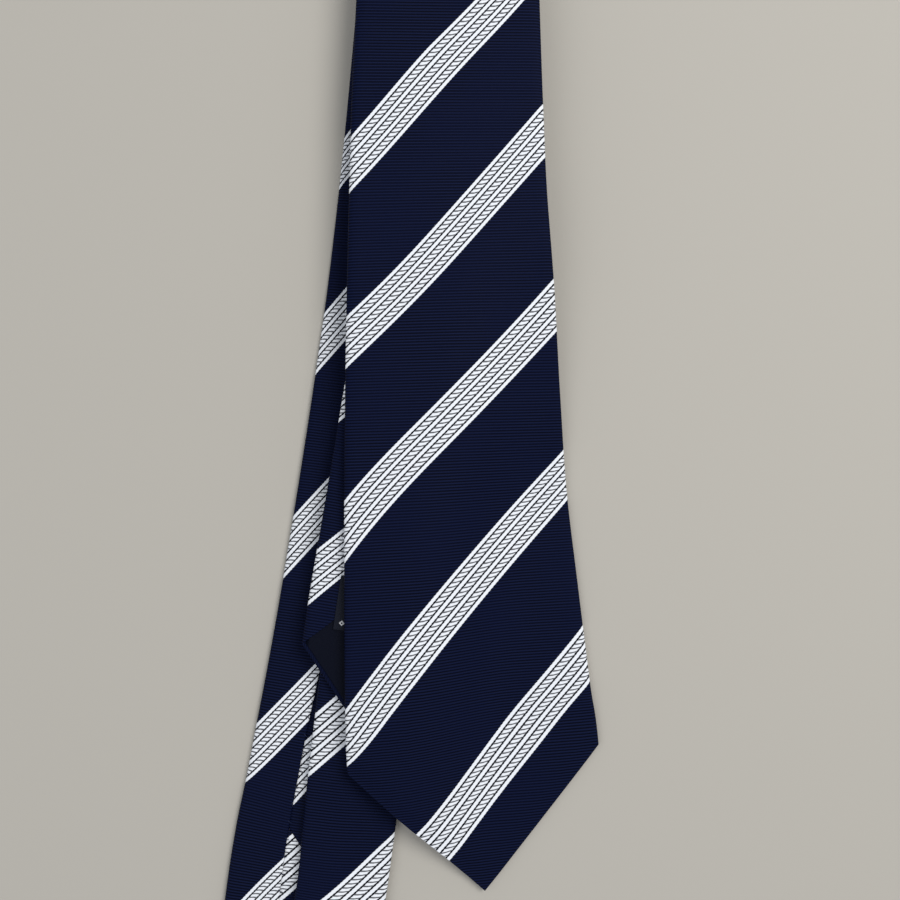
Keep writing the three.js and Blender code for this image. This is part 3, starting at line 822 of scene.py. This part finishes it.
def as_sheet(o, area, width, length, rests):
    SHEETS.append((o, area, width, length, rests))


def leg_silk(name, run, stations, phase, body, nodes, width, length, rests, tip=None, seed=0.0):
    o, area = silk(name, run, stations, phase, SILK, tip=tip, seed=seed)
    keep(o, body, "silk", *nodes)
    as_sheet(o, area, width, length, rests)
    return o


# wide blade
ends = pointed(FRONT_TIP, FRONT_CORNER_W)
leg_silk("front_panel_silk", front, between(ends, 112.0, near_end(44)) + spaced(112.0, CUT_F, ROW), phase_front,
         "front_blade", ["front_panel"], 0.180, 0.335, ["tail_panel_silk"], tip=(FRONT_TIP, FRONT_CORNER_W), seed=0.0)
# top fold
fold_o, fold_area = silk("top_fold_silk", top_fold, spaced(CUT_F - FL, CUT_N, 0.5),
                         lambda u, v: np.where(v < 0, phase_front(u, FL + v), phase_neckward(u, v)), SILK, seed=0.3)
keep(fold_o, None, "silk")
as_sheet(fold_o, fold_area, 0.125, 0.039, [])
# neck leg of the wide blade, neck panel, neck leg of the narrow blade
leg_silk("front_panel_neckward_silk", neck,
         spaced(CUT_N, A1, ROW) + between(join(362.0, J1, -0.12), A1, [1 - t for t in spaced(0.0, 1.0, 0.025)][1:]),
         phase_neckward, "neck", ["front_panel_neckward"], 0.125, 0.360, [], seed=0.6)
leg_silk("neck_panel_silk", neck,
         between(join(362.0, J1, 0.12), A2, spaced(0.0, 1.0, 0.025)[:-1]) + spaced(A2, N2, ROW)
         + spaced(N2, N3, 0.45)[1:] + spaced(N3, B1, ROW)[1:]
         + between(join(668.0, J2, -0.12), B1, [1 - t for t in spaced(0.0, 1.0, 0.025)][1:]),
         phase_neck, "neck", ["neck_panel"], 0.080, 0.345, ["front_panel_neckward_silk"], seed=1.1)
leg_silk("tail_panel_neckward_silk", neck,
         between(join(668.0, J2, 0.12), B2, spaced(0.0, 1.0, 0.025)[:-1]) + spaced(B2, CUT_M, ROW),
         phase_tail_neckward, "neck", ["tail_panel_neckward"], 0.075, 0.225, ["front_panel_neckward_silk"], seed=1.7)
# inner fold
in_o, in_area = silk("inner_fold_silk", inner_fold, spaced(CUT_T - TL, -3.4, 0.5) + spaced(-3.4, 3.4, 0.17)[1:] + spaced(3.4, NL - CUT_M, 0.5)[1:],
                     lambda u, v: phase_tail(u, TL + v), SILK, seed=0.9)
keep(in_o, None, "silk")
as_sheet(in_o, in_area, 0.072, 0.022, [])
# narrow blade
ends_t = pointed(TAIL_TIP, TAIL_CORNER_W)
leg_silk("tail_panel_silk", tail, between(ends_t, 62.0, near_end(30)) + spaced(62.0, CUT_T, ROW), phase_tail,
         "tail_blade", ["tail_panel"], 0.080, 0.275, ["tail_panel_neckward_silk", "neck_panel_silk"],
         tip=(TAIL_TIP, TAIL_CORNER_W), seed=2.2)

# interlining, inside the silk
felt_tail = plate(2.6, -0.34, 0.66)


def lining_piece(name, run, section, stations, material, slot_name, body, nodes, width, length, thick):
    o = block(name, run, section, stations, material)
    keep(o, body, slot_name, *nodes)
    as_sheet(o, area_of(o) / 2 / MM / MM * 1e-6, width, length, [])
    return o


tip_in = pointed(FRONT_TIP, FRONT_CORNER_W, 3.4)
lining_piece("front_interlining_felt", front, plate(3.0, -0.30, 0.30),
             between(tip_in, 30.0 + FRONT_TIP, spaced(0, 1, 0.1)[:-1]) + spaced(30.0 + FRONT_TIP, front_leg.length - 0.5, 6.0), FELT, "interlining",
             "front_blade", ["front_interlining"], 0.084, 0.335, 1.0)
lining_piece("neck_interlining_felt_a", neck, felt_tail, spaced(N1 + 0.5, N2 - 8.0, 5.0), FELT, "interlining", "neck",
             ["front_interlining_neckward"], 0.060, 0.420, 1.0)
lining_piece("neck_interlining_felt_b", neck, felt_tail,
             spaced(N2 - 7.4, N2, 1.0) + spaced(N2, N3, 0.6)[1:] + spaced(N3, N4 - 0.5, 5.0)[1:], FELT, "interlining", "neck",
             ["tail_interlining_neckward"], 0.036, 0.450, 1.0)
tip_in_t = pointed(TAIL_TIP, TAIL_CORNER_W, 3.0)
lining_piece("tail_interlining_felt", tail, plate(2.6, -0.30, 0.30),
             between(tip_in_t, 40.0, spaced(0, 1, 0.1)[:-1]) + spaced(40.0, tail_leg.length - 0.5, 5.0), FELT, "interlining",
             "tail_blade", ["tail_interlining"], 0.036, 0.275, 1.0)
# satin tipping
SH = (0.0, 0.12, 0.24, 0.36, 0.48, 0.6, 0.72, 0.84, 0.93)
lining_piece("front_tipping_satin", front, plate(1.5, -0.96, -0.74, SH),
             between(pointed(FRONT_TIP, FRONT_CORNER_W, 2.2), 112.0, near_end(36)) + [112.0], SATIN, "tipping",
             "front_blade", ["front_tipping"], 0.086, 0.110, 0.22)
lining_piece("tail_tipping_satin", tail, plate(1.4, -0.96, -0.74, SH),
             between(pointed(TAIL_TIP, TAIL_CORNER_W, 1.8), 60.0, near_end(24)) + [60.0], SATIN, "tipping",
             "tail_blade", ["tail_tipping"], 0.038, 0.060, 0.22)


# threads
def stitch_line(name, run, a, b, gap, body, node):
    paths = []
    for v in spaced(a, b, gap):
        us = np.linspace(-0.35, 1.15, 7)
        vs = v + np.linspace(-0.5, 0.5, 7)
        ns = -H + np.array([0.02, -0.22, -0.27, -0.24, -0.06, 0.28, 0.52])
        paths.append(run.place(vs, us, ns))
    o = threads(name, paths, 0.13, THREAD)
    return keep(o, body, "thread", node)


stitch_line("front_slip_stitch_thread", front, 97.0, CUT_F - 4, 6.0, "front_blade", "front_slip_stitch")
stitch_line("neck_slip_stitch_thread", neck, CUT_N + 4, CUT_M - 4, 6.0, "neck", "neck_slip_stitch")
stitch_line("tail_slip_stitch_thread", tail, 43.0, CUT_T - 4, 6.0, "tail_blade", "tail_slip_stitch")


def bar_tack(name, run, v, half_w, body, node):
    """Three long strands across the seam, bound with close turns."""
    paths = []
    for dv in (-0.28, 0.0, 0.28):
        us = np.linspace(-half_w, half_w, 15)
        ns = -H - 0.42 + 0.42 * np.abs(us / half_w) ** 6
        paths.append(run.place(np.full(15, v + dv), us, ns))
    for k in np.arange(-half_w + 0.6, half_w - 0.5, 0.34):
        f = np.linspace(-0.15 * math.pi, 1.15 * math.pi, 9)
        paths.append(run.place(v + 0.58 * np.cos(f), np.full(9, k) + np.linspace(-0.05, 0.05, 9), -H - 0.36 - 0.36 * np.sin(f)))
    o = threads(name, paths, 0.15, THREAD)
    return keep(o, body, "thread", node)


bar_tack("front_bar_tack_thread", front, 93.4, 3.4, "front_blade", "front_bar_tack")
bar_tack("tail_bar_tack_thread", tail, 42.2, 2.4, "tail_blade", "tail_bar_tack")


def soft_strip(name, run, half_w, low, high, a, b, gap, material, slot_name, body, node, arch=0.0, phase=None, cols=25):
    """A thin strip across the leg, its ends turned down to the cloth."""
    xs = np.linspace(-half_w, half_w, cols)
    lift = arch * (1 - np.abs(xs / half_w) ** 8)
    sec = [("c", x, low - l) for x, l in zip(xs, lift)] + [("c", x, high - l) for x, l in zip(xs[::-1], lift[::-1])]
    o = block(name, run, sec, spaced(a, b, gap), material, phase=phase)
    bev = o.modifiers.new("soft", "BEVEL")
    bev.width, bev.segments, bev.limit_method, bev.angle_limit = 0.09 * MM, 2, "ANGLE", math.radians(50)
    bpy.context.view_layer.objects.active = o
    bpy.ops.object.modifier_apply(modifier="soft")
    keep(o, body, slot_name, node)
    as_sheet(o, area_of(o) / 2, 2 * half_w / 1000 + 0.002, max(0.0102, (b - a) / 1000 + 0.001), [])
    return o


soft_strip("brand_label_satin", front, 24.0, -1.98, -1.76, 148.0, 163.0, 1.5,
           label_material("brand_label_weave", 24.0, 148.0, 15.0, 7.5, 4.4), "label", "front_blade", "brand_label")
soft_strip("care_label_satin", tail, 9.0, -1.86, -1.66, 27.0, 45.0, 1.5,
           label_material("care_label_weave", 9.0, 27.0, 18.0, 2.4, 3.2), "label", "tail_blade", "care_label")
soft_strip("keeper_loop_silk", front, 30.6, -1.98, -1.60, 192.0, 201.0, 0.75, SILK, "silk", "front_blade", "keeper_loop",
           arch=0.55, phase=lambda u, v: 0.98 * u + 0.9 * v - 160.0, cols=61)


def tack_row(name, run, u, a, b, gap, level, body, node, across=0.9):
    paths = []
    for v in spaced(a, b, gap):
        us = u + np.linspace(-across, across, 7)
        ns = level - np.array([-0.45, 0.02, 0.16, 0.18, 0.16, 0.02, -0.45])
        paths.append(run.place(np.full(7, v) + np.linspace(-0.15, 0.15, 7), us, ns))
    o = threads(name, paths, 0.13, THREAD)
    return keep(o, body, "thread", node)


tack_row("label_tack_left_thread", front, -23.3, 149.0, 162.0, 1.3, -1.98, "front_blade", "label_tack_left")
tack_row("label_tack_right_thread", front, 23.3, 149.0, 162.0, 1.3, -1.98, "front_blade", "label_tack_right")
tack_row("keeper_tack_left_thread", front, -29.7, 192.8, 200.2, 0.62, -2.02, "front_blade", "keeper_tack_left")
tack_row("keeper_tack_right_thread", front, 29.7, 192.8, 200.2, 0.62, -2.02, "front_blade", "keeper_tack_right")

# the two fold pieces have their transforms applied to their meshes
def at(x, y, z):
    return tuple((np.array([x, y, z]) + SHIFT) * MM)


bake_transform(fold_o)
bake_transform(in_o)

for o, area, width, length, rests in SHEETS:
    if area > 1.0 * width * length:
        length = area / width * 1.001
    area = max(area, 0.301 * width * length)

# ----------------------------------------------------- floor, light and camera
floor_me = bpy.data.meshes.new("floor")
floor_me.from_pydata([(-4, -4, 0), (4, -4, 0), (4, 4, 0), (-4, 4, 0)], [], [(0, 1, 2, 3)])
floor = bpy.data.objects.new("floor", floor_me)
bpy.context.scene.collection.objects.link(floor)
floor_mat = bpy.data.materials.new("floor_plain")
floor_mat.use_nodes = True
floor_mat.node_tree.nodes["Principled BSDF"].inputs["Base Color"].default_value = (0.41, 0.388, 0.345, 1)
floor_mat.node_tree.nodes["Principled BSDF"].inputs["Roughness"].default_value = 0.75
floor_me.materials.append(floor_mat)


def area_light(name, place, aim, size, power, colour):
    data = bpy.data.lights.new(name, "AREA")
    data.shape, data.size, data.energy, data.color = "DISK", size, power, colour
    o = bpy.data.objects.new(name, data)
    o.location = place
    o.rotation_mode = "QUATERNION"
    o.rotation_quaternion = (Vector(aim) - Vector(place)).to_track_quat("-Z", "Y")
    bpy.context.scene.collection.objects.link(o)


area_light("key", (0.75, 0.55, 1.25), (0, 0, 0), 0.9, 17.0, (1.0, 0.985, 0.96))
area_light("fill", (-0.9, -0.4, 1.3), (0, 0, 0), 1.2, 5.0, (0.95, 0.97, 1.0))
world = bpy.data.worlds.new("studio")
world.use_nodes = True
world.node_tree.nodes["Background"].inputs[0].default_value = (0.92, 0.95, 1.0, 1)
world.node_tree.nodes["Background"].inputs[1].default_value = 0.55
bpy.context.scene.world = world
bpy.context.scene.view_settings.view_transform = "Standard"

cam = bpy.data.cameras.new("camera")
cam.sensor_width = 36.0
cam.lens = 36.0 * 965.0 / 900.0
cam.clip_start = 0.01
camera = bpy.data.objects.new("camera", cam)
camera.location = (0.01429, 0.02391, 0.334)
camera.rotation_euler = (0.0, 0.0, 0.0)
bpy.context.scene.collection.objects.link(camera)
bpy.context.scene.camera = camera

bpy.context.view_layer.update()
